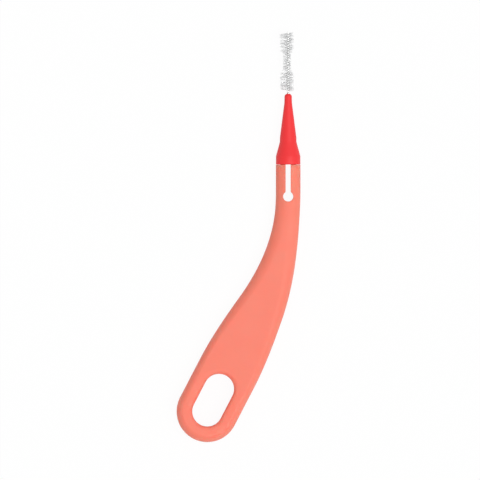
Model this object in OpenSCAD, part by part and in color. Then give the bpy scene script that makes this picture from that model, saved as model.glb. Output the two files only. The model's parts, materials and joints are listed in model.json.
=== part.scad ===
// Interdental brush: a bent flat handle with a split neck, and a click-on head
// made of a conical holder, a twisted wire and nylon filaments.
// It lies on its flat back: +Z is up, +Y runs along the neck to the brush tip,
// and the origin is at the bottom centre of the whole brush.
// The modules draw in neck coordinates: the neck's axis is Y, and its shoulder is at zero.

/* [Handle] */
// Diameter of the neck, which is also the thickness of the whole handle
neck_d = 6.9; // [6.4:0.1:8.4]
// Straight length of the neck below its shoulder
neck_len = 7.7; // [6:0.1:20]
// Radius of the bend, on the centreline
bend_r = 72.6; // [40:0.2:120]
// Angle between the neck and the grip
bend_angle = 27.4; // [10:0.1:40]
// Straight length from the end of the bend to the centre of the round end
grip_len = 31.5; // [25:0.5:60]
// Width of the grip at its round end
tail_w = 17.2; // [15:0.2:24]
// Distance below the shoulder where the handle starts to widen
widen_from = 11; // [6:0.5:30]
// Length along the centreline over which the handle widens
widen_len = 51; // [20:1:60]
// Width of the rounded edge along the grip, seen from the front
grip_edge = 2; // [1:0.1:3]
// Break of the shoulder's edge, and of the holder's edge beside it
edge_break = 0.15; // [0.1:0.05:0.3]

/* [Hanging hole] */
// Width of the hole near the round end
hole_w = 8.4; // [5:0.1:10]
// Distance between the centres of the hole's two round ends
hole_reach = 7.1; // [0.5:0.1:14]
// Rounding of the hole's rims
hole_rim = 1.2; // [0.4:0.1:1.6]

/* [Keyhole slot] */
// Width of the slot that splits the neck
slot_w = 1.4; // [0.8:0.1:1.8]
// Distance from the shoulder to the centre of the round end of the slot
slot_len = 8.9; // [6:0.1:14]
// Diameter of the round end of the slot
keyhole_d = 2.8; // [2:0.1:4]

/* [Click fit] */
// Gap between the shoulder and the holder when the head is clicked on
seat_gap = 0.05; // [0:0.01:0.15]
// Clearance between the nose and its socket
fit_gap = 0.05; // [0.03:0.01:0.1]
// Height of the click bead above the nose
bead_h = 0.16; // [0.05:0.01:0.2]
// Distance from the shoulder to the middle of the click bead
bead_at = 1.9; // [1.6:0.1:2.4]
// Width of the click bead
bead_w = 0.9; // [0.5:0.1:1.2]
// Least wall of the holder around its socket
holder_wall = 0.85; // [0.6:0.05:1]

/* [Brush holder] */
// Distance from the shoulder to the tip of the holder
holder_len = 19.9; // [16:0.1:30]
// Distance from the shoulder to the end of the holder's straight skirt
skirt_len = 2.3; // [2:0.1:3.5]
// How far the neck stands proud of the skirt
skirt_inset = 0.03; // [0:0.01:0.1]
// Distance from the shoulder to the throat, where the flare ends
throat_at = 6.5; // [5.5:0.1:8]
// Length of the straight throat, between the flare and the long taper
throat_len = 1; // [0.4:0.1:2]
// Diameter of the throat
throat_d = 4.65; // [4.2:0.05:5.2]
// Length of the slender end of the holder, above the long taper
slender_len = 2.6; // [2:0.1:6]
// Diameter of the slender end where the long taper meets it
slender_d = 2.15; // [2:0.05:3]
// Diameter of the holder just under its rounded tip
holder_tip_d = 2.05; // [1.7:0.05:2.3]

/* [Wire] */
// Diameter of the wire, before it is folded and twisted
wire_d = 0.32; // [0.25:0.01:0.4]
// Length over which the twisted wire makes one full turn
twist_pitch = 1.3; // [1.2:0.05:2]
// Length of the wire that is moulded into the holder
wire_embed = 5; // [3:0.5:8]
// Length of the wire between the last filament and its fold
wire_tip = 0.15; // [0.1:0.05:0.6]

/* [Bristles] */
// Distance from the holder's tip to the first filament
bristle_gap = 0.9; // [0.2:0.1:3]
// Length of each flared end of the brush
flare_len = 4.55; // [3:0.05:8]
// Length of the narrow middle of the brush, with its tapers
waist_len = 7; // [4:0.1:10]
// Diameter over the filaments at both ends of the brush
flare_d = 3.9; // [3:0.1:6]
// Diameter over the filaments in the middle of the brush
waist_d = 2.3; // [1.6:0.1:2.8]
// Thickness of a filament
filament_d = 0.06; // [0.05:0.005:0.07]
// Distance from one filament to the next along the wire
filament_step = 0.085; // [0.08:0.005:0.12]
// Clearance between the filaments and the wire that grips them
nip_gap = 0.01; // [0.005:0.005:0.02]

/* [Hidden] */

// One overrun for every cut.
overrun = 0.5;

// Shares of the sizes that they follow.
edge_share = 0.96;         // width of the neck's rounded edge, of the neck's radius
root_share = 0.5;          // start of the nose inside the neck, of the slot's length
lip_share = 0.5;           // depth of the click groove behind the lip, of the bead's height
flare_ease_share = 0.15;   // how far the flare is eased from a straight cone
tip_round_share = 0.85;    // rounding of the holder's tip, of its radius there
ribbon_share = 0.72;       // half width of the filaments' pressed middles, of the wire's diameter
narrow_share = 0.6;        // part of the narrow middle that has no taper

// Counts.
spine_steps = 26;          // rings along the handle
edge_steps = 10;           // facets round the handle's edge
tail_steps = 16;           // facets round the tail
hole_steps = 16;           // facets round each end of the hanging hole
rim_steps = 3;             // facets across the rim of the hole
flare_steps = 8;           // cones along the holder's flare
tip_steps = 5;             // cones round the holder's tip
turn_steps = 8;            // rings in one turn of the wire
fold_steps = 6;            // rings round the wire's fold
wire_sides = 6;            // sides of the wire
smooth_fn = 72;            // drawn smoothness of true curves

// Handle.
neck_r = neck_d / 2;
tail_r = tail_w / 2;
bend_len = bend_r * bend_angle * PI / 180;
spine_len = neck_len + bend_len + grip_len;
tail_at = spine(spine_len);

// Nose of the handle and socket of the holder, from the shoulder up.
skirt_r = neck_r - skirt_inset;
throat_r = throat_d / 2;
throat_end = throat_at + throat_len;
nose_len = throat_end - fit_gap;
nose_tip_r = throat_r - holder_wall - fit_gap;
nose_base_r = skirt_r - holder_wall - 2 * bead_h - fit_gap;
bead_r = nose_base_r + bead_h;
lip_r = bead_r + fit_gap;
groove_r = lip_r + bead_h * lip_share;
groove_half = bead_w / 2 + fit_gap;

// Slender end of the holder, and its tip.
slender_at = holder_len - slender_len;
holder_tip_r = holder_tip_d / 2;
tip_round = holder_tip_r * tip_round_share;

// Wire. Its legs keep clear of the filaments between them at every facet.
wire_r = wire_d / 2;
helix_r = (wire_r + filament_d / 2 + nip_gap) / cos(180 / turn_steps);
wire_bore_r = helix_r + wire_r + fit_gap;
wire_foot = holder_len - wire_embed;

// Bristles, from the holder's tip up.
bristle_start = holder_len + bristle_gap;
waist_start = bristle_start + flare_len;
waist_end = waist_start + waist_len;
bristle_end = waist_end + flare_len;
ribbon_r = wire_d * ribbon_share;
fold_at = bristle_end + wire_tip;

// Centre of the whole brush, seen from above.
centre_x = (neck_r + tail_at.x - tail_r) / 2;
centre_y = (fold_at + helix_r + wire_r + tail_at.y - tail_r) / 2;

function clamp(t) = max(0, min(1, t));
function smooth(t) = let (c = clamp(t)) c * c * (3 - 2 * c);
function mix(a, b, t) = a + (b - a) * t;

// Angle that the handle's centreline has turned, at a distance below the shoulder.
function lean(s) = bend_angle * clamp((s - neck_len) / bend_len);

// Directions down the centreline, and to its right.
function down(s) = [-sin(lean(s)), -cos(lean(s))];
function right(s) = [cos(lean(s)), -sin(lean(s))];

// Point of the centreline at a distance below the shoulder.
function spine(s) =
    let (a = lean(s), straight = min(s, neck_len), rest = max(0, s - neck_len - bend_len))
    [-bend_r * (1 - cos(a)), -straight - bend_r * sin(a)] + rest * down(s);

// How far the handle has widened, and the width of its rounded edge, which stays as round
// as the neck for longer.
function widening(s) = smooth((s - widen_from) / widen_len);
function half_width(s) = mix(neck_r, tail_r, widening(s));
function edge_width(s) = mix(neck_r * edge_share, grip_edge, widening(s) * widening(s));

// A rounded edge, as points from the back face to the front face. It starts from a point
// of the outline, and inward is the direction to the handle's inside.
function edge_points(outline, inward, s) = [
    for (i = [0 : edge_steps])
        let (a = -90 + 180 * i / edge_steps, p = outline + inward * edge_width(s) * (1 - cos(a)))
        [p.x, p.y, neck_r * (1 + sin(a))]
];

// The edges in order: down the right side, round the tail, and up the left side.
function side_edge(s, side) =
    edge_points(spine(s) + side * half_width(s) * right(s), -side * right(s), s);
function tail_edge(a) =
    let (out = cos(a) * right(spine_len) + sin(a) * down(spine_len))
    edge_points(tail_at + tail_r * out, -out, spine_len);
function handle_edges() = [
    for (i = [0 : spine_steps]) side_edge(spine_len * i / spine_steps, 1),
    for (i = [1 : tail_steps - 1]) tail_edge(180 * i / tail_steps),
    for (i = [spine_steps : -1 : 0]) side_edge(spine_len * i / spine_steps, -1)
];

// The handle before it is cut: edges joined round the outline, two flat faces and the shoulder.
module handle_blank() {
    edges = handle_edges();
    n = len(edges);
    m = edge_steps + 1;
    sides = [
        for (i = [0 : n - 2]) for (j = [0 : edge_steps - 1])
            let (a = i * m + j, b = a + m)
            each [[a, b, b + 1], [a, b + 1, a + 1]]
    ];
    // Across the flat faces, each edge meets the one opposite.
    flats = [
        for (i = [0 : ceil(n / 2) - 2])
            let (a = i * m, b = a + m, d = (n - 1 - i) * m, c = d - m)
            each [
                [a, d, c], if (b != c) [a, c, b],
                [a + m - 1, c + m - 1, d + m - 1], if (b != c) [a + m - 1, b + m - 1, c + m - 1]
            ]
    ];
    shoulder = [
        for (j = [0 : edge_steps - 1])
            let (d = (n - 1) * m + j)
            each [[j, j + 1, d + 1], [j, d + 1, d]]
    ];
    polyhedron([for (edge = edges) each edge], concat(sides, flats, shoulder));
}

// Stadium outline of the hanging hole, grown by a margin, at a height.
function hole_ring(margin, z) = [
    for (end = [0, 1]) for (i = [0 : hole_steps])
        let (
            a = 180 * i / hole_steps + 180 * end,
            out = cos(a) * right(spine_len) + sin(a) * down(spine_len),
            p = tail_at - end * hole_reach * down(spine_len) + (hole_w / 2 + margin) * out
        )
        [p.x, p.y, z]
];

// Cutter for the hanging hole, which opens out at both rims.
module hanging_hole() {
    turns = [for (i = [0 : rim_steps]) 90 * i / rim_steps];
    margins = [for (a = turns) hole_rim * (1 - sin(a))];
    depths = [for (a = turns) hole_rim * (1 - cos(a))];
    rings = [
        hole_ring(hole_rim, -overrun),
        for (i = [0 : rim_steps]) hole_ring(margins[i], depths[i]),
        for (i = [rim_steps : -1 : 0]) hole_ring(margins[i], neck_d - depths[i]),
        hole_ring(hole_rim, neck_d + overrun)
    ];
    n = len(rings[0]);
    top = (len(rings) - 1) * n;
    walls = [
        for (i = [0 : len(rings) - 2]) for (j = [0 : n - 1])
            let (a = i * n + j, b = i * n + (j + 1) % n)
            each [[a, b, b + n], [a, b + n, a + n]]
    ];
    ends = [for (j = [1 : n - 2]) each [[0, j + 1, j], [top, top + j, top + j + 1]]];
    polyhedron([for (ring = rings) each ring], concat(walls, ends));
}

// Lays a shape that was drawn along Z on the neck's axis.
module along_neck() {
    translate([0, 0, neck_r]) rotate([-90, 0, 0]) children();
}

// Turns a profile, drawn as radius and distance from the shoulder, about the neck's axis.
module turned(profile) {
    along_neck() rotate_extrude($fn = smooth_fn) polygon(profile);
}

// The nose inside the holder, with its click bead.
module nose() {
    root = -slot_len * root_share;
    turned([
        [0, root],
        [nose_base_r, root],
        [nose_base_r, bead_at - bead_w / 2],
        [bead_r, bead_at],
        [nose_base_r, bead_at + bead_w / 2],
        [nose_tip_r, throat_at],
        [nose_tip_r, nose_len - edge_break],
        [nose_tip_r - edge_break, nose_len],
        [0, nose_len]
    ]);
}

// Cuts the break on the shoulder's edge.
module shoulder_break() {
    turned([
        [neck_r - edge_break, 0],
        [neck_r + overrun, -edge_break - overrun],
        [neck_r + overrun, overrun],
        [neck_r - edge_break, overrun]
    ]);
}

module keyhole_slot() {
    height = neck_d + 2 * overrun;
    translate([-slot_w / 2, -slot_len, -overrun])
        cube([slot_w, slot_len + nose_len + overrun, height]);
    translate([0, -slot_len, -overrun])
        cylinder(d = keyhole_d, h = height, $fn = smooth_fn);
}

module handle() {
    color("salmon")
        difference() {
            union() {
                handle_blank();
                nose();
            }
            shoulder_break();
            keyhole_slot();
            hanging_hole();
        }
}

// Point of the holder's outside along its flare, from the skirt to the throat.
function flare_point(t) = [
    mix(skirt_r, throat_r, mix(t, smooth(t), flare_ease_share)),
    mix(skirt_len, throat_at, t)
];

// Point round the tip of the holder.
function tip_point(a) = [
    holder_tip_r - tip_round * (1 - cos(a)),
    holder_len - tip_round * (1 - sin(a))
];

// The outside of the holder, from its skirt to its tip.
module holder_body() {
    turned([
        [0, seat_gap],
        [skirt_r - edge_break, seat_gap],
        [skirt_r, seat_gap + edge_break],
        for (i = [0 : flare_steps]) flare_point(i / flare_steps),
        [throat_r, throat_end],
        [slender_d / 2, slender_at],
        for (i = [0 : tip_steps]) tip_point(90 * i / tip_steps),
        [0, holder_len]
    ]);
}

// The socket that the nose clicks into, with its lip and groove.
module socket() {
    turned([
        [0, -overrun],
        [lip_r, -overrun],
        [lip_r, bead_at - groove_half],
        [groove_r, bead_at],
        [nose_base_r + fit_gap, bead_at + groove_half],
        [nose_tip_r + fit_gap, throat_at],
        [nose_tip_r + fit_gap, throat_end],
        [0, throat_end]
    ]);
}

// The bore that the wire's foot fills.
module wire_bore() {
    turned([
        [0, wire_foot - fit_gap],
        [wire_bore_r, wire_foot - fit_gap],
        [wire_bore_r, holder_len + overrun],
        [0, holder_len + overrun]
    ]);
}

module brush_holder() {
    color("red")
        difference() {
            holder_body();
            socket();
            wire_bore();
        }
}

// Angle of the twist at a distance from the shoulder.
function twist(y) = 360 * y / twist_pitch;

// A ring of the wire's skin about a point. Out and along are square to each other.
function wire_ring(centre, out, along) =
    let (side = cross(along, out))
    [
        for (k = [0 : wire_sides - 1])
            let (a = 360 * k / wire_sides)
            centre + wire_r * (cos(a) * out + sin(a) * side)
    ];

// A ring of one leg. Travel is 1 up the first leg and -1 down the second.
function leg_ring(y, travel) =
    let (
        a = twist(y) + (travel > 0 ? 0 : 180),
        out = [cos(a), sin(a), 0],
        turn_len = 2 * PI * helix_r,
        along = [-sin(a) * turn_len, cos(a) * turn_len, twist_pitch]
    )
    wire_ring(helix_r * out + [0, 0, y], out, travel * along / norm(along));

// A ring of the fold that joins the two legs at the tip.
function fold_ring(t) =
    let (
        first = [cos(twist(fold_at)), sin(twist(fold_at)), 0],
        up = [0, 0, 1],
        out = cos(t) * first + sin(t) * up
    )
    wire_ring(helix_r * out + fold_at * up, out, cos(t) * up - sin(t) * first);

module twisted_wire() {
    leg_steps = ceil((fold_at - wire_foot) / twist_pitch * turn_steps);
    heights = [for (i = [0 : leg_steps]) mix(wire_foot, fold_at, i / leg_steps)];
    rings = [
        for (y = heights) leg_ring(y, 1),
        for (i = [1 : fold_steps - 1]) fold_ring(180 * i / fold_steps),
        for (i = [leg_steps : -1 : 0]) leg_ring(heights[i], -1)
    ];
    n = wire_sides;
    last = (len(rings) - 1) * n;
    skin = [
        for (i = [0 : len(rings) - 2]) for (j = [0 : n - 1])
            let (a = i * n + j, b = i * n + (j + 1) % n)
            each [[a, a + n, b + n], [a, b + n, b]]
    ];
    cuts = [for (j = [1 : n - 2]) each [[0, j, j + 1], [last, last + j + 1, last + j]]];
    color("silver")
        along_neck() polyhedron([for (ring = rings) each ring], concat(skin, cuts));
}

// Radius over the filaments: narrow in the middle of the waist, and flared beyond it.
function bristle_r(y) =
    let (share = abs(2 * (y - waist_start) / waist_len - 1))
    mix(waist_d, flare_d, smooth((share - narrow_share) / (1 - narrow_share))) / 2;

// A point that turns with the twist. Its first coordinate is square to the wire's two legs.
function turned_point(x, side, turn_y, y) =
    let (a = twist(turn_y) + 90)
    [x * cos(a) - side * sin(a), x * sin(a) + side * cos(a), y];

// Corners of the filaments' pressed middles at a distance from the shoulder.
function ribbon_ring(y) = [
    for (corner = [[1, -1], [1, 1], [-1, 1], [-1, -1]])
        turned_point(corner.x * ribbon_r, corner.y * filament_d / 2, y, y)
];

// The four corners of a filament's cut end, on one side of the wire.
function strand_end(y, side) = [
    for (corner = [[-1, -1], [1, -1], [1, 1], [-1, 1]])
        turned_point(
            side * bristle_r(y), side * corner.x * filament_d / 2, y, y + corner.y * filament_d / 2
        )
];

// Filaments along one stretch of the wire, fused to their pressed middles.
module filaments(from, to) {
    count = floor((to - from) / filament_step);
    middles = [for (k = [0 : count - 1]) mix(from, to, (k + 0.5) / count)];
    heights = [from, for (y = middles) each [y - filament_d / 2, y + filament_d / 2], to];
    ribbon_points = [for (y = heights) each ribbon_ring(y)];
    end_points = [for (y = middles) for (side = [1, -1]) each strand_end(y, side)];
    first_end = len(ribbon_points);
    top = first_end - 4;
    // Broad faces of the pressed middles, all the way up.
    broad = [
        for (i = [0 : len(heights) - 2]) for (corner = [1, 3])
            let (a = 4 * i + corner, b = 4 * i + (corner + 1) % 4)
            each [[a, a + 4, b + 4], [a, b + 4, b]]
    ];
    // Narrow faces, only between the filaments.
    narrow = [
        for (i = [0 : 2 : len(heights) - 2]) for (corner = [0, 2])
            let (a = 4 * i + corner)
            each [[a, a + 4, a + 5], [a, a + 5, a + 1]]
    ];
    // A filament's four sides and its cut end take the narrow face's place.
    strands = [
        for (k = [0 : count - 1]) for (side = [0, 1])
            let (
                a = 4 * (2 * k + 1) + 2 * side,
                root = [a, a + 1, a + 5, a + 4],
                e = first_end + 4 * (2 * k + side)
            )
            each [
                for (j = [0 : 3])
                    let (q = (j + 1) % 4)
                    each [[root[j], e + j, e + q], [root[j], e + q, root[q]]],
                [e, e + 2, e + 1],
                [e, e + 3, e + 2]
            ]
    ];
    caps = [[0, 1, 2], [0, 2, 3], [top + 3, top + 2, top + 1], [top + 3, top + 1, top]];
    color("white")
        along_neck()
            polyhedron(concat(ribbon_points, end_points), concat(broad, narrow, strands, caps));
}

module base_bristles() {
    filaments(bristle_start, waist_start);
}

module waist_bristles() {
    filaments(waist_start, waist_end);
}

module tip_bristles() {
    filaments(waist_end, bristle_end);
}

// Moves neck coordinates to the brush's own frame.
module in_frame() {
    translate([-centre_x, -centre_y, 0]) children();
}

in_frame() handle();
in_frame() brush_holder();
in_frame() twisted_wire();
in_frame() base_bristles();
in_frame() waist_bristles();
in_frame() tip_bristles();
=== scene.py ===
# %% [markdown]
# A brush for the gaps between teeth. It has a flat coral handle with a hanging hole and a split
# neck, a red cone that clicks onto the neck, and a twisted steel wire that grips several hundred
# fine nylon filaments. This lesson builds each of these as its own Blender object, at its real
# size in metres, in the frame of the CAD model. The head can then be pulled off the handle as on
# the real brush.

import math
import random

import bmesh
import bpy
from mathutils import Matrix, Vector
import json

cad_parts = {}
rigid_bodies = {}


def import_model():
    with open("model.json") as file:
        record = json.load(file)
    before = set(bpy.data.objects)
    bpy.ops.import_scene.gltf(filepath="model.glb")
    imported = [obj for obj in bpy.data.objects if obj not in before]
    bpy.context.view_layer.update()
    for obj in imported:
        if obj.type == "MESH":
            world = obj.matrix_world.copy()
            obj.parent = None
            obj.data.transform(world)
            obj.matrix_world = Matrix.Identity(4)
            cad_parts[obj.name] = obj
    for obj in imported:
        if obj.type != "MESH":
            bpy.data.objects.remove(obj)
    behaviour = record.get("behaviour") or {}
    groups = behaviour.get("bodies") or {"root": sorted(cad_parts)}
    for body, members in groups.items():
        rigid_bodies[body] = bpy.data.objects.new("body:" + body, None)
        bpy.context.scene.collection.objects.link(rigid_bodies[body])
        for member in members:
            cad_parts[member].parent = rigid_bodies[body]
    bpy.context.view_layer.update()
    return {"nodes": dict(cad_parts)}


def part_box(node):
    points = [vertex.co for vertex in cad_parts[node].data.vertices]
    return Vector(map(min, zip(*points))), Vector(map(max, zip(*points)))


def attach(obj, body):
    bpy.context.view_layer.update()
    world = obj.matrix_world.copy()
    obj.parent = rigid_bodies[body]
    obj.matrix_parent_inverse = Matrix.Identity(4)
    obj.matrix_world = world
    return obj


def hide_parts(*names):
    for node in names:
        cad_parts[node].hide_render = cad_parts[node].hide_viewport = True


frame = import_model()
print("nodes of the CAD model:", sorted(frame["nodes"]))

# %% [markdown]
# All the pieces share one set of measures. They are written in millimetres, as a maker would
# write them, and one factor turns them to metres where a mesh is made. The shoulder is the ring
# where the neck ends and the red cone starts. Its place comes from the CAD model's holder, and
# the neck's radius from its handle, so every piece stays on its node.

# %% The shared frame
MM = 0.001
holder_low, holder_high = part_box("brush_holder")
SEAT_GAP = 0.05
NECK_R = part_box("handle")[1].z / 2 / MM
NECK_X = (holder_high.x + holder_low.x) / 2 / MM
SHOULDER_Y = holder_low.y / MM - SEAT_GAP
print(f"neck radius {NECK_R:.3f} mm, axis at x {NECK_X:.3f}, shoulder at y {SHOULDER_Y:.3f}")


def in_frame(x, y, z):
    """Moves a point from neck coordinates, in mm, to the brush's frame, in metres."""
    return Vector((x + NECK_X, y + SHOULDER_Y, z)) * MM


def around_axis(radius, angle, y):
    """A point at a radius and an angle about the neck's axis, y mm above the shoulder."""
    return (radius * math.cos(angle), y, NECK_R - radius * math.sin(angle))


# %% [markdown]
# The photograph looks straight down on the flat face, and no inner wall of a hole shows. That is
# what a very long lens sees, and an orthographic camera is its limit: it keeps every piece at its
# true shape, wherever it lies in the picture. Its scale is the width of the whole picture.

# %% Camera
PHOTO_WIDTH = 134.4
CAMERA_X = 0.413
CAMERA_Y = -0.959
CAMERA_HEIGHT = 400
NEAREST, FURTHEST = 10, 5000
camera_data = bpy.data.cameras.new("camera")
camera_data.type = "ORTHO"
camera_data.ortho_scale = PHOTO_WIDTH * MM
camera_data.clip_start = NEAREST * MM
camera_data.clip_end = FURTHEST * MM
camera = bpy.data.objects.new("camera", camera_data)
camera.location = Vector((CAMERA_X, CAMERA_Y, CAMERA_HEIGHT)) * MM
bpy.context.collection.objects.link(camera)
bpy.context.scene.camera = camera
bpy.context.scene.view_settings.view_transform = "Standard"
print(f"camera looks down from {CAMERA_HEIGHT} mm and sees {PHOTO_WIDTH} mm")

# %% [markdown]
# Materials need two helpers. Colours are picked in sRGB, as on a screen, while shaders add up
# light, so they need linear values. The second helper adds any node with its settings and its
# inputs, where an input is either a plain value or the output of another node.

# %% Colour and node helpers


def linear(hex_colour):
    """Turns an sRGB hex colour to the linear colour that a shader takes."""
    shares = [int(hex_colour[i:i + 2], 16) / 255 for i in (1, 3, 5)]
    bent = [c / 12.92 if c <= 0.04045 else ((c + 0.055) / 1.055) ** 2.4 for c in shares]
    return (*bent, 1.0)


def add_node(tree, kind, settings=None, inputs=None):
    """Adds a node to a tree, sets it up and links it."""
    node = tree.nodes.new("ShaderNode" + kind)
    for name, value in (settings or {}).items():
        setattr(node, name, value)
    for name, value in (inputs or {}).items():
        if isinstance(value, bpy.types.NodeSocket):
            tree.links.new(value, node.inputs[name])
        else:
            node.inputs[name].default_value = value
    return node


def new_tree(owner):
    """Gives a material or world an empty node tree."""
    owner.use_nodes = True
    owner.node_tree.nodes.clear()
    return owner.node_tree


print("the coral's lighter tint in linear light:", [round(c, 3) for c in linear("#FB8A75")])

# %% [markdown]
# Both the floor and the sky round the brush have to look plain white without throwing extra
# light on it. The Light Path node tells them which kind of ray is asking. The camera, reflections
# and clear plastic are to see the plain background, so one helper marks these three kinds.

# %% Rays that see the background


def background_rays(tree):
    """Gives 1 for the camera, reflections and clear plastic, and 0 for all other rays."""
    kinds = add_node(tree, "LightPath").outputs
    seen = kinds["Is Camera Ray"]
    for kind in ("Is Glossy Ray", "Is Transmission Ray"):
        larger = add_node(tree, "Math", {"operation": "MAXIMUM"}, {0: seen, 1: kinds[kind]})
        seen = larger.outputs[0]
    return seen


print("the background is seen by camera, glossy and transmission rays")

# %% [markdown]
# The floor is a plain white sheet of paper. The camera, reflections and clear plastic see mostly
# a plain white glow, with a little of the lit paper in it, and that little keeps the soft shadow.
# All other rays see pale paper, which throws light up under the edges as a real sheet does. Rays
# that have come less than a millimetre or so see some of the glow too, or else the flat back,
# which lies on the paper, would be black. From below, the paper is clear.

# %% White paper
WHITE = linear("#FFFFFF")
FLOOR_GLOW = 0.95
TOUCH_REACH = 1.5
paper = bpy.data.materials.new("white_paper")
tree = new_tree(paper)
came = add_node(tree, "LightPath").outputs["Ray Length"]
touch = add_node(tree, "MapRange", inputs={
    0: came, 1: 0.0, 2: TOUCH_REACH * MM, 3: 1.0, 4: 0.0})
seen = add_node(tree, "Math", {"operation": "MAXIMUM"},
                {0: background_rays(tree), 1: touch.outputs[0]})
glowing = add_node(tree, "Math", {"operation": "MULTIPLY"}, {0: seen.outputs[0], 1: FLOOR_GLOW})
sheet = add_node(tree, "BsdfDiffuse", inputs={"Color": linear("#F4F4F4")})
glow = add_node(tree, "Emission", inputs={"Color": WHITE, "Strength": 1.0})
front = add_node(tree, "MixShader", inputs={
    0: glowing.outputs[0], 1: sheet.outputs[0], 2: glow.outputs[0]})
clear = add_node(tree, "BsdfTransparent")
below = add_node(tree, "NewGeometry").outputs["Backfacing"]
both = add_node(tree, "MixShader", inputs={0: below, 1: front.outputs[0], 2: clear.outputs[0]})
add_node(tree, "OutputMaterial", inputs={"Surface": both.outputs[0]})
print("material:", paper.name)

# %% [markdown]
# The sheet is a single square face, wide enough to fill every view. Blender's own plane would do
# as well, but four points say plainly where it lies: a hair below the brush, so that light which
# leaves the flat back still meets the paper. It is marked as stage, because it isn't a piece of
# the brush.

# %% Floor
FLOOR_DROP = 0.02
FLOOR_HALF = 2000
floor_mesh = bpy.data.meshes.new("floor")
shape = bmesh.new()
corners = [(-1, -1), (1, -1), (1, 1), (-1, 1)]
shape.faces.new([
    shape.verts.new((x * FLOOR_HALF * MM, y * FLOOR_HALF * MM, -FLOOR_DROP * MM))
    for x, y in corners])
shape.to_mesh(floor_mesh)
shape.free()
floor_mesh.materials.append(paper)
floor = bpy.data.objects.new("floor", floor_mesh)
bpy.context.collection.objects.link(floor)
print("floor:", floor.dimensions)

# %% [markdown]
# The light is a white tent with one large soft lamp, high up and a little to the right. The tent
# is the world's own light, and a sun lamp with a wide angle stands for the lamp, because its
# light is the same all along the brush. Together they light a flat white surface to about full
# white, so a colour renders about as it is written. The left sides of the pieces get less of the
# lamp, so they are darker than the right sides, as in the photograph.

# %% Light
TENT_LEVEL = 0.55
LAMP_LEVEL = 1.57
LAMP_ANGLE = 40
LAMP_FROM = Vector((0.35, -0.15, 1.0))
world = bpy.data.worlds.new("tent")
bpy.context.scene.world = world
tree = new_tree(world)
tent = add_node(tree, "Background", inputs={"Color": WHITE, "Strength": TENT_LEVEL})
backdrop = add_node(tree, "Background", inputs={"Color": WHITE, "Strength": 1.0})
either = add_node(tree, "MixShader", inputs={
    0: background_rays(tree), 1: tent.outputs[0], 2: backdrop.outputs[0]})
add_node(tree, "OutputWorld", inputs={"Surface": either.outputs[0]})

lamp_data = bpy.data.lights.new("softbox", "SUN")
lamp_data.energy = LAMP_LEVEL
lamp_data.angle = math.radians(LAMP_ANGLE)
lamp = bpy.data.objects.new("softbox", lamp_data)
lamp.rotation_euler = LAMP_FROM.to_track_quat("Z", "Y").to_euler()
bpy.context.collection.objects.link(lamp)
print("lamp shines from", [round(v, 2) for v in LAMP_FROM.normalized()])

# %% [markdown]
# Widths, edges and radii change along the brush, some evenly and some with a soft start and end.
# Two helpers do that: one goes a share of the way from one value to another, and the other bends
# such a share, so that it starts and ends softly.

# %% Blending helpers


def mix(a, b, share):
    return a + (b - a) * share


def ease(share):
    """Goes from 0 to 1 with a soft start and end."""
    held = max(0, min(1, share))
    return held * held * (3 - 2 * held)


print("a softened share at its quarters:", [round(ease(i / 4), 2) for i in range(5)])

# %% [markdown]
# The handle's centreline runs straight down from the shoulder, bends to the left on a wide arc,
# and runs straight again to the middle of the round end. Every section of the handle hangs on
# this line, so it comes first. It could be a curve object, but a few lines of code give exact
# places that the hole and the slot need too.

# %% Centreline of the handle
NECK_LEN = 7.7
BEND_R = 72.6
BEND_ANGLE = math.radians(27.4)
GRIP_LEN = 31.5
TAIL_R = 8.6
WIDEN_FROM = 11
WIDEN_LEN = 51
BEND_LEN = BEND_R * BEND_ANGLE
SPINE_LEN = NECK_LEN + BEND_LEN + GRIP_LEN


def lean(s):
    """How far the centreline has turned, s mm below the shoulder."""
    return BEND_ANGLE * max(0, min(1, (s - NECK_LEN) / BEND_LEN))


def down(s):
    return Vector((-math.sin(lean(s)), -math.cos(lean(s))))


def right(s):
    return Vector((math.cos(lean(s)), -math.sin(lean(s))))


def spine(s):
    """The point of the centreline s mm below the shoulder."""
    turned = lean(s)
    straight = min(s, NECK_LEN)
    rest = max(0, s - NECK_LEN - BEND_LEN)
    bend = Vector((-BEND_R * (1 - math.cos(turned)), -straight - BEND_R * math.sin(turned)))
    return bend + rest * down(s)


def widening(s):
    return ease((s - WIDEN_FROM) / WIDEN_LEN)


def half_width(s):
    return mix(NECK_R, TAIL_R, widening(s))


TAIL_AT = spine(SPINE_LEN)
print(f"centreline {SPINE_LEN:.1f} mm long, tail centre at", [round(v, 2) for v in TAIL_AT])

# %% [markdown]
# The handle is as thick as the neck, with two flat faces and a round edge all the way round. At
# the neck the two edges almost meet, so it is all but round, and down the grip they draw in to
# 2 mm each. A Bevel modifier could round a flat plate too, but a width that changes would need a
# weight on every edge. So the edge is drawn as one profile that changes with its place.

# %% Edge of the handle
NECK_EDGE_SHARE = 0.96
NECK_EDGE = NECK_R * NECK_EDGE_SHARE
GRIP_EDGE = 2
EDGE_STEPS = 24


def edge_profile(s, outline, inward, inset=0):
    """The round edge at one station, as points from the back face to the front face."""
    width = mix(NECK_EDGE, GRIP_EDGE, widening(s) ** 2)
    profile = []
    for i in range(EDGE_STEPS + 1):
        angle = math.pi * (i / EDGE_STEPS - 0.5)
        reach = inset + (width - inset) * (1 - math.cos(angle))
        place = outline + inward * reach
        profile.append((place.x, place.y, NECK_R + (NECK_R - inset) * math.sin(angle)))
    return profile


def side_station(s, side, inset=0):
    outline = spine(s) + side * half_width(s) * right(s)
    return edge_profile(s, outline, -side * right(s), inset)


print(f"edge: {NECK_EDGE:.2f} mm wide at the neck and {GRIP_EDGE} mm at the tail")

# %% [markdown]
# A modelled mesh is a list of points and a list of faces, and one helper turns both into an
# object in the frame. Blender's mesh data could be filled in directly, but bmesh also turns every
# face outwards, whichever way round its corners were listed.

# %% Object helper


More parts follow.
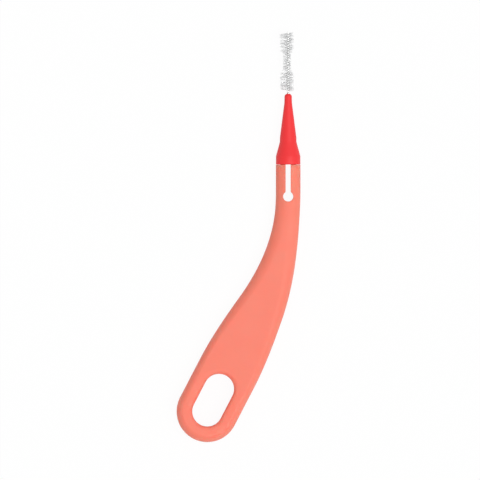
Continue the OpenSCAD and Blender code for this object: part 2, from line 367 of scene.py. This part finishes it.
def new_object(name, points, faces):
    """Makes an object of points in neck coordinates, with its faces turned outwards."""
    shape = bmesh.new()
    corners = [shape.verts.new(in_frame(*point)) for point in points]
    for face in faces:
        shape.faces.new([corners[i] for i in face])
    bmesh.ops.recalc_face_normals(shape, faces=shape.faces)
    mesh = bpy.data.meshes.new(name)
    shape.to_mesh(mesh)
    shape.free()
    made = bpy.data.objects.new(name, mesh)
    bpy.context.collection.objects.link(made)
    return made


print("new objects go to the collection:", bpy.context.collection.name)

# %% [markdown]
# The body is lofted. The edge's profile is set at many stations down the right side, round the
# tail and up the left side, and faces join each station to the next. The first stations shrink a
# little, which rounds the shoulder's corner. Flat faces join opposite stations at the back and at
# the front, and one last face closes the shoulder.

# %% Body of the handle
SPINE_STEPS = 130
TAIL_STEPS = 64
SHOULDER_ROUND = 0.2
SHOULDER_STEPS = 5


def side_stations(side):
    """All the stations of one side, from the shoulder down."""
    stations = []
    for i in range(SHOULDER_STEPS):
        turn = math.pi / 2 * (1 - i / SHOULDER_STEPS)
        s = SHOULDER_ROUND * (1 - math.sin(turn))
        stations.append(side_station(s, side, SHOULDER_ROUND * (1 - math.cos(turn))))
    for i in range(SPINE_STEPS + 1):
        stations.append(side_station(mix(SHOULDER_ROUND, SPINE_LEN, i / SPINE_STEPS), side))
    return stations


edges = side_stations(1)
for i in range(1, TAIL_STEPS):
    angle = math.pi * i / TAIL_STEPS
    outward = math.cos(angle) * right(SPINE_LEN) + math.sin(angle) * down(SPINE_LEN)
    edges.append(edge_profile(SPINE_LEN, TAIL_AT + TAIL_R * outward, -outward))
edges += reversed(side_stations(-1))

row = EDGE_STEPS + 1
faces = []
for i in range(len(edges) - 1):
    for j in range(EDGE_STEPS):
        a = i * row + j
        faces.append((a, a + row, a + row + 1, a + 1))
for i in range(len(edges) // 2):
    a, b = i * row, (i + 1) * row
    c, d = (len(edges) - 2 - i) * row, (len(edges) - 1 - i) * row
    flat_face = (a, b, c, d) if c > b else (a, b, d)
    for end in (0, EDGE_STEPS):
        faces.append([corner + end for corner in flat_face])
last = (len(edges) - 1) * row
faces.append([*range(row), *range(last + EDGE_STEPS, last - 1, -1)])
handle = new_object("coral_handle", [point for edge in edges for point in edge], faces)
print(f"handle body: {len(edges)} stations, {len(handle.data.polygons)} faces")

# %% [markdown]
# The other meshes are skins: rings of points that follow one another and are joined by faces,
# with a cap at each end. Turned pieces, filaments and cutters are all made that way. For turned
# pieces, a second helper makes the rings from a profile, and a third rounds off a profile's upper
# edge. Blender's Screw modifier turns a profile too, but it can't make the other skins.

# %% Skin and lathe helpers
ROUND_STEPS = 96


def skin(rings):
    """Joins rings of equal count by faces and closes both ends."""
    count = len(rings[0])
    points = [point for ring in rings for point in ring]
    faces = []
    for start in range(0, len(points) - count, count):
        for j in range(count):
            k = (j + 1) % count
            faces.append((start + j, start + k, start + count + k, start + count + j))
    faces.append(range(count))
    faces.append(range(len(points) - count, len(points)))
    return points, faces


def turned_rings(profile):
    """Rings about the neck's axis from pairs of a radius and a height."""
    turns = [2 * math.pi * i / ROUND_STEPS for i in range(ROUND_STEPS)]
    return [[around_axis(radius, turn, y) for turn in turns] for radius, y in profile]


def rounded_end(radius, end, rounding, last_turn, steps):
    """Profile points that round off the upper edge of a turned piece."""
    points = []
    for i in range(steps + 1):
        turn = last_turn * i / steps
        points.append((radius - rounding * (1 - math.cos(turn)),
                       end - rounding * (1 - math.sin(turn))))
    return points


print(f"a turned ring has {ROUND_STEPS} points")

# %% [markdown]
# Above the shoulder, the handle carries the nose that the red cone clicks onto. It is a tapered
# plug with a small round bead. It is turned about the neck's axis, and then joined to the body
# with a Boolean, because on the real handle both are one moulding.

# %% Nose with its click bead
BEAD_STEPS = 12
CORNER_STEPS = 5
NOSE_ROOT = -4.45
THROAT_AT = 6.5
NOSE_LEN = 7.45
NOSE_BASE_R = 2.2
NOSE_TIP_R = 1.425
NOSE_ROUND = 0.3
BEAD_AT = 1.9
BEAD_HALF = 0.45
BEAD_H = 0.16

profile = [(NOSE_BASE_R, NOSE_ROOT), (NOSE_BASE_R, BEAD_AT - BEAD_HALF)]
for i in range(1, BEAD_STEPS):
    share = 2 * i / BEAD_STEPS - 1
    swell = BEAD_H * (1 + math.cos(math.pi * share)) / 2
    profile.append((NOSE_BASE_R + swell, BEAD_AT + BEAD_HALF * share))
profile.append((NOSE_BASE_R, BEAD_AT + BEAD_HALF))
profile.append((NOSE_TIP_R, THROAT_AT))
profile += rounded_end(NOSE_TIP_R, NOSE_LEN, NOSE_ROUND, math.pi / 2, CORNER_STEPS)
nose = new_object("nose", *skin(turned_rings(profile)))
print(f"nose: {len(profile)} rings, {NOSE_LEN} mm long")

# %% [markdown]
# Two openings go right through the handle. Moulded openings never have knife edges, so each
# cutter is drawn with rims that open out in a quarter round, and it follows the height of the
# surface that it cuts. One helper makes both cutters from an outline, where every point also
# knows which way the plastic lies.

# %% Cutter helper
OVERRUN = 0.5
RIM_STEPS = 6


def through_cutter(name, outline, rim, height_at):
    """A cutter through the handle. height_at gives the surface's height above the middle."""
    levels = [(rim, -OVERRUN)]
    for i in range(RIM_STEPS + 1):
        turn = math.pi / 2 * (1 - i / RIM_STEPS)
        levels.append((rim * (1 - math.cos(turn)), rim * (1 - math.sin(turn))))
    rings = []
    for side, chosen in ((-1, levels), (1, reversed(levels))):
        for margin, depth in chosen:
            ring = []
            for place, outward in outline:
                grown = place + outward * margin
                ring.append((grown.x, grown.y, NECK_R + side * (height_at(grown) - depth)))
            rings.append(ring)
    return new_object(name, *skin(rings))


print("a cutter has", 2 * (RIM_STEPS + 2), "rings")

# %% [markdown]
# The hanging hole is a long round-ended hole in line with the grip, wide enough for a hook or a
# cord. Its outline is two half circles, one about the middle of the round tail and one further
# up the grip. The handle is flat there, so the cutter is equally high all round.

# %% Hanging hole
HOLE_R = 4.2
HOLE_REACH = 7.1
HOLE_RIM = 1.2
HOLE_STEPS = 48
hole_outline = []
for end in (0, 1):
    centre = TAIL_AT - end * HOLE_REACH * down(SPINE_LEN)
    for i in range(HOLE_STEPS + 1):
        angle = math.pi * (i / HOLE_STEPS + end)
        outward = math.cos(angle) * right(SPINE_LEN) + math.sin(angle) * down(SPINE_LEN)
        hole_outline.append((centre + HOLE_R * outward, outward))
hole_cutter = through_cutter("hole_cutter", hole_outline, HOLE_RIM, lambda place: NECK_R)
print(f"hanging hole: {2 * HOLE_R:.1f} mm wide and {2 * HOLE_R + HOLE_REACH:.1f} mm long")

# %% [markdown]
# The keyhole slot splits the neck and the nose into two prongs, which spring inwards as the cone
# clicks on. Its round end keeps the plastic from tearing there, and small fillets lead into it.
# Only the right half of its outline is worked out, and the left half is the mirror image. The
# neck is round, so this cutter's height follows the neck's surface.

# %% Keyhole slot
SLOT_R = 0.7
SLOT_LEN = 8.9
SLOT_RIM = 0.18
SLOT_FILLET = 0.4
FILLET_STEPS = 8
KEYHOLE_R = 1.4
KEYHOLE_STEPS = 32


def neck_height(place):
    """Height of the neck's surface above its middle."""
    depth = min(1, (NECK_R - abs(place.x)) / NECK_EDGE)
    return NECK_R * math.sqrt(1 - (1 - depth) ** 2)


fillet_x = SLOT_R + SLOT_FILLET
fillet_rise = math.sqrt((KEYHOLE_R + SLOT_FILLET) ** 2 - fillet_x ** 2)
fillet_at = Vector((fillet_x, fillet_rise - SLOT_LEN))
meeting = math.atan2(fillet_rise, fillet_x)
right_half = [(Vector((SLOT_R, NOSE_LEN + OVERRUN)), Vector((1, 0)))]
for i in range(FILLET_STEPS + 1):
    angle = meeting * i / FILLET_STEPS
    inward = Vector((math.cos(angle), math.sin(angle)))
    right_half.append((fillet_at - SLOT_FILLET * inward, inward))
keyhole_at = Vector((0, -SLOT_LEN))
for i in range(1, KEYHOLE_STEPS + 1):
    angle = mix(meeting, -math.pi / 2, i / KEYHOLE_STEPS)
    outward = Vector((math.cos(angle), math.sin(angle)))
    right_half.append((keyhole_at + KEYHOLE_R * outward, outward))
mirror = Vector((-1, 1))
left_half = [(place * mirror, outward * mirror) for place, outward in reversed(right_half[:-1])]
slot_cutter = through_cutter("slot_cutter", right_half + left_half, SLOT_RIM, neck_height)
print(f"keyhole slot: its round end is centred {SLOT_LEN} mm below the shoulder")

# %% [markdown]
# Smooth shading hides the small faces that make up a round surface, but a moulding has true
# edges too. This helper keeps the edges that are sharper than a chosen angle, and it lets large
# faces lead the shading, so that flat ones look flat.

# %% Shading helper
# 50 would give large and small faces the same say.
LARGE_FACES_LEAD = 80


def smooth_shaded(piece, sharp_angle):
    """Shades a mesh smooth, apart from edges sharper than an angle in degrees."""
    for face in piece.data.polygons:
        face.use_smooth = True
    piece.data.set_sharp_from_angle(angle=math.radians(sharp_angle))
    even = piece.modifiers.new("even_shading", "WEIGHTED_NORMAL")
    even.keep_sharp = True
    even.weight = LARGE_FACES_LEAD


print("weight of large faces in the shading:", LARGE_FACES_LEAD)

# %% [markdown]
# Three Boolean modifiers join the nose to the body and cut both openings. The exact solver is
# slower than the fast one, but it copes with surfaces that nearly touch. The result is kept as a
# plain mesh and the three tools are removed, so the handle is left as the one moulding it is.

# %% Join and carve the handle
for other, operation in ((nose, "UNION"), (slot_cutter, "DIFFERENCE"), (hole_cutter, "DIFFERENCE")):
    cut = handle.modifiers.new(other.name, "BOOLEAN")
    cut.operation = operation
    cut.object = other
    cut.solver = "EXACT"
graph = bpy.context.evaluated_depsgraph_get()
carved = bpy.data.meshes.new_from_object(handle.evaluated_get(graph))
handle.modifiers.clear()
handle.data = carved
for other in (nose, slot_cutter, hole_cutter):
    bpy.data.objects.remove(other)
smooth_shaded(handle, sharp_angle=32)
print(f"carved handle: {len(handle.data.polygons)} faces")

# %% [markdown]
# The brush holder is one red moulding, turned about the neck's axis, so a single profile gives it
# both its shape and its true wall. The profile starts inside, at the far end of the socket, and
# comes down past the groove and the lip that hold the bead. The socket could be cut out of a
# solid cone instead, but a turned one needs no Boolean.

# %% Socket of the brush holder
THROAT_END = 7.5
FIT_GAP = 0.05
LIP_R = NOSE_BASE_R + BEAD_H + FIT_GAP
inside = [
    (NOSE_TIP_R + FIT_GAP, THROAT_END),
    (NOSE_TIP_R + FIT_GAP, THROAT_AT),
    (NOSE_BASE_R + FIT_GAP, BEAD_AT + BEAD_HALF + FIT_GAP),
    (LIP_R + BEAD_H / 2, BEAD_AT),
    (LIP_R, BEAD_AT - BEAD_HALF - FIT_GAP),
    (LIP_R, SEAT_GAP),
]
print(f"socket: the lip is {2 * LIP_R:.2f} mm wide, the bead {2 * (NOSE_BASE_R + BEAD_H):.2f} mm")

# %% [markdown]
# Outside, the profile goes back up: a short straight skirt a hair narrower than the neck, a flare
# down to a short throat, a long taper, and a slender end with a round tip. It ends in the bore
# that the wire is moulded into. The two caps of the skin are the ends of the socket and the bore.

# %% Brush holder
HOLDER_LEN = 19.9
HOLDER_EDGE = 0.15
SKIRT_INSET = 0.03
SKIRT_R = NECK_R - SKIRT_INSET
SKIRT_LEN = 2.3
FLARE_SOFTNESS = 0.15
FLARE_STEPS = 32
THROAT_R = 2.325
SLENDER_AT = 17.3
SLENDER_R = 1.075
TIP_R = 1.025
TIP_ROUND = 0.87
TIP_STEPS = 8
WIRE_FOOT = 14.9
BORE_R = 0.4265
TIP_TURN = math.acos(1 - (TIP_R - BORE_R) / TIP_ROUND)

outside = []
for i in range(CORNER_STEPS + 1):
    turn = math.pi / 2 * i / CORNER_STEPS
    outside.append((SKIRT_R - HOLDER_EDGE * (1 - math.sin(turn)),
                    SEAT_GAP + HOLDER_EDGE * (1 - math.cos(turn))))
for i in range(FLARE_STEPS + 1):
    share = i / FLARE_STEPS
    flare = mix(share, ease(share), FLARE_SOFTNESS)
    outside.append((mix(SKIRT_R, THROAT_R, flare), mix(SKIRT_LEN, THROAT_AT, share)))
outside += [(THROAT_R, THROAT_END), (SLENDER_R, SLENDER_AT)]
outside += rounded_end(TIP_R, HOLDER_LEN, TIP_ROUND, TIP_TURN, TIP_STEPS)
outside.append((BORE_R, WIRE_FOOT - FIT_GAP))
holder = new_object("red_brush_holder", *skin(turned_rings(inside + outside)))
smooth_shaded(holder, sharp_angle=24)
print(f"holder: {len(inside + outside)} rings, {HOLDER_LEN} mm long")

# %% [markdown]
# The wire is one length of steel, folded in half, with its two legs twisted together. Its path
# follows the middle of the wire up the first helix, over the fold at the tip and back down the
# second helix. The twist dies out just under the fold, because the legs have to part there.

# %% Path of the wire
HELIX_R = 0.2165
TWIST_PITCH = 1.3
FOLD_AT = 37.05
UNTWIST = 0.5
STEPS_PER_TURN = 28
FOLD_STEPS = 12


def twist(y):
    """Angle of the wire's twist, y mm above the shoulder."""
    spare = max(0, y - (FOLD_AT - UNTWIST))
    return 2 * math.pi * (y - spare * spare / (2 * UNTWIST)) / TWIST_PITCH


leg_steps = round((FOLD_AT - WIRE_FOOT) / TWIST_PITCH * STEPS_PER_TURN)
heights = [mix(WIRE_FOOT, FOLD_AT, i / leg_steps) for i in range(leg_steps + 1)]
line = [around_axis(HELIX_R, twist(y), y) for y in heights]
for i in range(1, FOLD_STEPS):
    turn = math.pi * i / FOLD_STEPS
    line.append(around_axis(HELIX_R * math.cos(turn), twist(FOLD_AT),
                            FOLD_AT + HELIX_R * math.sin(turn)))
line += [around_axis(-HELIX_R, twist(y), y) for y in reversed(heights)]
turns = (twist(FOLD_AT) - twist(WIRE_FOOT)) / (2 * math.pi)
print(f"path: {len(line)} points, {turns:.1f} turns")

# %% [markdown]
# A curve object with a round bevel is the natural way to draw wire. It needs only the path and
# the wire's radius, and both stay easy to change. The skin helper could make the same tube as a
# mesh, but then the direction of every ring along the helix would have to be worked out too.

# %% Twisted wire
WIRE_R = 0.16
BEVEL_STEPS = 3
wire_curve = bpy.data.curves.new("twisted_steel_wire", "CURVE")
wire_curve.dimensions = "3D"
wire_curve.bevel_depth = WIRE_R * MM
wire_curve.bevel_resolution = BEVEL_STEPS
wire_curve.use_fill_caps = True
strand = wire_curve.splines.new("POLY")
strand.points.add(len(line) - 1)
for point, place in zip(strand.points, line):
    point.co = (*in_frame(*place), 1)
strand.use_smooth = True
wire = bpy.data.objects.new("twisted_steel_wire", wire_curve)
bpy.context.collection.objects.link(wire)
print(f"wire: {2 * WIRE_R} mm thick, folded {FOLD_AT} mm above the shoulder")

# %% [markdown]
# The brush is trimmed wide at both ends and narrow at its waist, and the photograph shows the
# trim a little off the wire's axis, to the left. The filaments could be made of equal length and
# cut by a Boolean, but it is simpler to know how long each one is from the start. So a function
# gives the trimmed radius at any height.

# %% Trim of the brush
BRISTLE_START = 20.8
WAIST_START = 25.35
WAIST_END = 32.35
BRISTLE_END = 36.9
FLARE_R = 1.95
WAIST_R = 1.15
TRIM_SHIFT = -0.35
NARROW_SHARE = 0.6


def trim_radius(y):
    """How far the trimmed filaments reach, y mm above the shoulder."""
    share = abs(2 * (y - WAIST_START) / (WAIST_END - WAIST_START) - 1)
    return mix(WAIST_R, FLARE_R, ease((share - NARROW_SHARE) / (1 - NARROW_SHARE)))


print(f"trim: {2 * FLARE_R} mm wide at the ends, {2 * WAIST_R} mm in the middle")

# %% [markdown]
# Neighbouring filaments lean together in small tufts. Two waves along the wire give that lean, a
# strong slow one and a weak quick one, and the two sides of a filament lean each on its own.

# %% Tufts
# For each wave: how strong, how fast along the wire, and how far the second side is off.
TUFT_WAVES = ((0.16, 2.1, 2.6), (0.07, 5.3, 4))


def tuft_lean(y, side):
    """How far along the wire the filaments lean together, as a share of their reach."""
    return sum(size * math.sin(rate * y + shift * side) for size, rate, shift in TUFT_WAVES)


print("strongest lean of a tuft:", round(sum(wave[0] for wave in TUFT_WAVES), 2), "of its reach")

# %% [markdown]
# The filaments are cut nylon threads. Each one is held at its middle between the wire's legs and
# stands out on both sides, so the twist fans the threads into two rows that wind up the wire. A
# particle system could do it, but plain tubes from a seeded draw are real geometry, and they come
# out the same every time.

# %% Shape of one filament
FILAMENT_R = 0.03
FILAMENT_SIDES = 5
PATH_STEPS = 8
# The shortest cut, and how far the filaments stray in turning, leaning and swinging.
SHORTEST = 0.88
FAN_SPREAD = 0.35
LEAN_SPREAD = 0.1
SWING_SPREAD = 0.22


def filament_rings(y, draw):
    """Rings along one filament, from one cut end through the wire to the other."""
    fan = twist(y) + math.pi / 2 + draw.gauss(0, FAN_SPREAD)
    ends = []
    for side in range(2):
        trim = trim_radius(y) + TRIM_SHIFT * math.cos(fan) * (2 * side - 1)
        reach = trim * draw.uniform(SHORTEST, 1)
        lean_share = tuft_lean(y, side) + draw.gauss(0, LEAN_SPREAD)
        ends.append((reach, lean_share * reach, draw.gauss(0, SWING_SPREAD) * reach))
    rings = []
    for i in range(PATH_STEPS + 1):
        share = 2 * i / PATH_STEPS - 1
        reach, lift, swing = ends[share > 0]
        out, bent = reach * share, share * share
        ring = []
        for k in range(FILAMENT_SIDES):
            turn = 2 * math.pi * k / FILAMENT_SIDES
            sideways = swing * bent + FILAMENT_R * math.cos(turn)
            across = out * math.cos(fan) - sideways * math.sin(fan)
            up = out * math.sin(fan) + sideways * math.cos(fan)
            ring.append((across, y + lift * bent + FILAMENT_R * math.sin(turn), NECK_R - up))
        rings.append(ring)
    return rings


print(f"a filament is {2 * FILAMENT_R} mm thick and has {PATH_STEPS + 1} rings")

# %% [markdown]
# The CAD model keeps the filaments in three stretches: both flared ends and the waist. Each
# stretch is one mesh here too, with 34 filaments to each millimetre of wire, and it replaces
# its own node.

# %% Three stretches of filaments
FILAMENTS_PER_MM = 34
PLACE_SPREAD = (0.2, 0.8)
bristles = {}
stretches = (
    ("base_filaments", "base_bristles", BRISTLE_START, WAIST_START),
    ("waist_filaments", "waist_bristles", WAIST_START, WAIST_END),
    ("tip_filaments", "tip_bristles", WAIST_END, BRISTLE_END),
)
for seed, (name, node, low, high) in enumerate(stretches):
    draw = random.Random(seed)
    count = round((high - low) * FILAMENTS_PER_MM)
    points, faces = [], []
    for i in range(count):
        y = mix(low, high, (i + draw.uniform(*PLACE_SPREAD)) / count)
        y = max(BRISTLE_START + FILAMENT_R, min(BRISTLE_END - FILAMENT_R, y))
        more_points, more_faces = skin(filament_rings(y, draw))
        faces += [[len(points) + corner for corner in face] for face in more_faces]
        points += more_points
    bristles[node] = new_object(name, points, faces)
    for face in bristles[node].data.polygons:
        face.use_smooth = len(face.vertices) == 4
    print(f"{name}: {count} filaments")

# %% [markdown]
# Each of the brush's materials varies a little from place to place, after a noise texture. Such a
# texture's scale is about the number of its lumps in a metre, so a helper works the scale out
# from the size of a lump.

# %% Noise and mixing in the materials
# Almost all of a noise texture's values lie between these two.
NOISE_LOW, NOISE_HIGH = 0.3, 0.7
# The Mix node has sockets of one name for each kind of data. These are its colour sockets.
MIX_A, MIX_B, MIX_OUT = 6, 7, 2


def size_scale(millimetres):
    """Scale of a noise texture whose lumps are about that size."""
    return 1 / (millimetres * MM)


print("scale for lumps of 1 mm:", size_scale(1))

# %% [markdown]
# The handle and the holder are both moulded polypropylene. The pigment is mixed in, so the colour
# goes right through. The skin copies the walls of the mould, and a hairline shows where the two
# halves of the mould met. One function makes this material, and each piece then gives it colours,
# a roughness and a grain of its own.

# %% Moulded polypropylene
PP_IOR = 1.49
PP_SPECULAR = 0.35
# Red light travels furthest in the plastic, green and blue much less.
GLOW_REACH = (1.0, 0.15, 0.1)
TINT_SIZE = 7
ROUGHNESS_SPREAD = 0.05
GRAIN_STRENGTH = 0.35
SEAM_CORE, SEAM_HALF, SEAM_HEIGHT = 0.05, 0.15, 0.03
SEAM_STRENGTH = 0.5


def moulded_plastic(name, dark, light, roughness, grain, grain_height,
                    glow_share=0, glow_depth=1):
    """Pigmented polypropylene with moulding grain and a parting line at mid height."""
    material = bpy.data.materials.new(name)
    tree = new_tree(material)
    place = add_node(tree, "TexCoord").outputs["Object"]
    # Pigment spreads unevenly over several millimetres.
    flow = add_node(tree, "TexNoise", inputs={
        "Vector": place, "Scale": size_scale(TINT_SIZE), "Detail": 3.0, "Roughness": 0.5})
    tint = add_node(tree, "Mix", {"data_type": "RGBA"}, {
        0: flow.outputs[0], MIX_A: linear(dark), MIX_B: linear(light)})
    # The eroded grain is about 0.05 mm. It is drawn several times coarser, so that it shows.
    pits = add_node(tree, "TexNoise", inputs={
        "Vector": place, "Scale": size_scale(grain), "Detail": 2.0, "Roughness": 0.6})
    sheen = add_node(tree, "MapRange", inputs={
        0: pits.outputs[0], 1: NOISE_LOW, 2: NOISE_HIGH,
        3: roughness - ROUGHNESS_SPREAD, 4: roughness + ROUGHNESS_SPREAD})
    # The parting line is a ridge 0.1 mm wide, drawn 0.3 mm wide.
    height = add_node(tree, "SeparateXYZ", inputs={0: place}).outputs["Z"]
    above = add_node(tree, "Math", {"operation": "SUBTRACT"}, {0: height, 1: NECK_R * MM})
    away = add_node(tree, "Math", {"operation": "ABSOLUTE"}, {0: above.outputs[0]})
    ridge = add_node(tree, "MapRange", {"interpolation_type": "SMOOTHSTEP"}, {
        0: away.outputs[0], 1: SEAM_CORE * MM, 2: SEAM_HALF * MM, 3: 1.0, 4: 0.0})
    grained = add_node(tree, "Bump", inputs={
        "Strength": GRAIN_STRENGTH, "Distance": grain_height * MM, "Height": pits.outputs[0]})
    seamed = add_node(tree, "Bump", inputs={
        "Strength": SEAM_STRENGTH, "Distance": SEAM_HEIGHT * MM, "Height": ridge.outputs[0],
        "Normal": grained.outputs[0]})
    plastic = add_node(tree, "BsdfPrincipled", inputs={
        "Base Color": tint.outputs[MIX_OUT], "Roughness": sheen.outputs[0], "IOR": PP_IOR,
        "Specular IOR Level": PP_SPECULAR, "Subsurface Weight": glow_share,
        "Subsurface Radius": GLOW_REACH, "Subsurface Scale": glow_depth * MM,
        "Normal": seamed.outputs[0]})
    add_node(tree, "OutputMaterial", inputs={"Surface": plastic.outputs[0]})
    return material


print(f"polypropylene: IOR {PP_IOR}, parting line {2 * SEAM_HALF} mm wide")

# %% [markdown]
# The walls of the handle's mould were spark eroded, which leaves an even, matt, slightly grained
# skin, and light enters the coral plastic a little way. The eye sees an almost flat colour with a
# soft sheen at the edges, and from the side the parting line.

# %% Matt moulded polypropylene, coral
coral_plastic = moulded_plastic(
    "matt_moulded_polypropylene_coral", "#F98570", "#FB8A75", roughness=0.56,
    grain=0.4, grain_height=0.02, glow_share=0.6, glow_depth=2)
handle.data.materials.clear()
handle.data.materials.append(coral_plastic)
print("material:", coral_plastic.name)

# %% [markdown]
# The holder's mould was polished, so its skin is satin, with a shallower and wider grain. The red
# is deeper than the handle's coral, and so dense a pigment stops the light near the surface, so
# this plastic has no glow. A soft highlight runs down the cone, a little to the right, and its
# left side falls into a darker red.

# %% Satin moulded polypropylene, red
red_plastic = moulded_plastic(
    "satin_moulded_polypropylene_red", "#EF3033", "#F53639", roughness=0.5,
    grain=0.8, grain_height=0.01)
holder.data.materials.append(red_plastic)
print("material:", red_plastic.name)

# %% [markdown]
# The wire is drawn stainless steel. Drawing it through a die leaves it bright, with faint lines,
# and a metal's look is all reflection: pale where it mirrors the tent, and greyer where it
# mirrors its own other leg and the filaments.

# %% Drawn stainless steel
MARK_SIZE = 0.1
STEEL_ROUGHNESS = (0.2, 0.34)
steel = bpy.data.materials.new("drawn_stainless_steel")
tree = new_tree(steel)
place = add_node(tree, "TexCoord").outputs["Object"]
# Draw marks are about 0.01 mm wide. They are drawn as 0.1 mm mottling, so that they show.
marks = add_node(tree, "TexNoise", inputs={
    "Vector": place, "Scale": size_scale(MARK_SIZE), "Detail": 2.0, "Roughness": 0.5})
polish = add_node(tree, "MapRange", inputs={
    0: marks.outputs[0], 1: NOISE_LOW, 2: NOISE_HIGH,
    3: STEEL_ROUGHNESS[0], 4: STEEL_ROUGHNESS[1]})
dull = add_node(tree, "Mix", {"data_type": "RGBA"}, {
    0: marks.outputs[0], MIX_A: linear("#EFEFEE"), MIX_B: linear("#FAFAF8")})
metal = add_node(tree, "BsdfPrincipled", inputs={
    "Base Color": dull.outputs[MIX_OUT], "Metallic": 1.0, "Roughness": polish.outputs[0]})
add_node(tree, "OutputMaterial", inputs={"Surface": metal.outputs[0]})
wire_curve.materials.append(steel)
print("material:", steel.name)

# %% [markdown]
# Nylon filament is extruded thread, left undyed, so it is white with a milky, dull skin. On
# white a single thread nearly vanishes, and many together turn a soft grey, because they shade
# one another. A white base with a small share of transmission gives both.

# %% Extruded nylon, natural white
NYLON_IOR = 1.53
NYLON_CLEARNESS = 0.2
NYLON_ROUGHNESS = (0.5, 0.7)
MILK_SIZE = 0.5
nylon = bpy.data.materials.new("extruded_nylon_natural")
tree = new_tree(nylon)
place = add_node(tree, "TexCoord").outputs["Object"]
# The threads differ a little in milkiness, over about half a millimetre.
milk = add_node(tree, "TexNoise", inputs={
    "Vector": place, "Scale": size_scale(MILK_SIZE), "Detail": 1.0})
cast = add_node(tree, "Mix", {"data_type": "RGBA"}, {
    0: milk.outputs[0], MIX_A: linear("#F4F5F6"), MIX_B: linear("#FDFDFD")})
gloss = add_node(tree, "MapRange", inputs={
    0: milk.outputs[0], 1: NOISE_LOW, 2: NOISE_HIGH,
    3: NYLON_ROUGHNESS[0], 4: NYLON_ROUGHNESS[1]})
thread = add_node(tree, "BsdfPrincipled", inputs={
    "Base Color": cast.outputs[MIX_OUT], "Roughness": gloss.outputs[0], "IOR": NYLON_IOR,
    "Transmission Weight": NYLON_CLEARNESS})
add_node(tree, "OutputMaterial", inputs={"Surface": thread.outputs[0]})
for piece in bristles.values():
    piece.data.materials.append(nylon)
print("material:", nylon.name)

# %% [markdown]
# Last, each piece is tied to the CAD body that it moves with, and the node that it stands for is
# hidden. The list also gives the finish that each piece takes in the part's record, but nothing
# here reads it. The handle stays put, and everything else slides off it along the neck.

# %% Ride on the CAD bodies
pieces = [
    (handle, "handle", "handle", "handle_plastic"),
    (holder, "brush_head", "brush_holder", "holder_plastic"),
    (wire, "brush_head", "twisted_wire", "wire_steel"),
]
pieces += [(piece, "brush_head", node, "filament_nylon") for node, piece in bristles.items()]
for piece, body, node, finish_slot in pieces:
    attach(piece, body)
    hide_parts(node)
    print(f"{piece.name} rides on {body} in place of {node}")

# %% [markdown]
# The brush may not grow or shrink on its way through Blender. The boxes round the CAD model and
# round these pieces are the sizes to compare, and this cell only loads the json module for them.

# %% Sizes and finish
import json
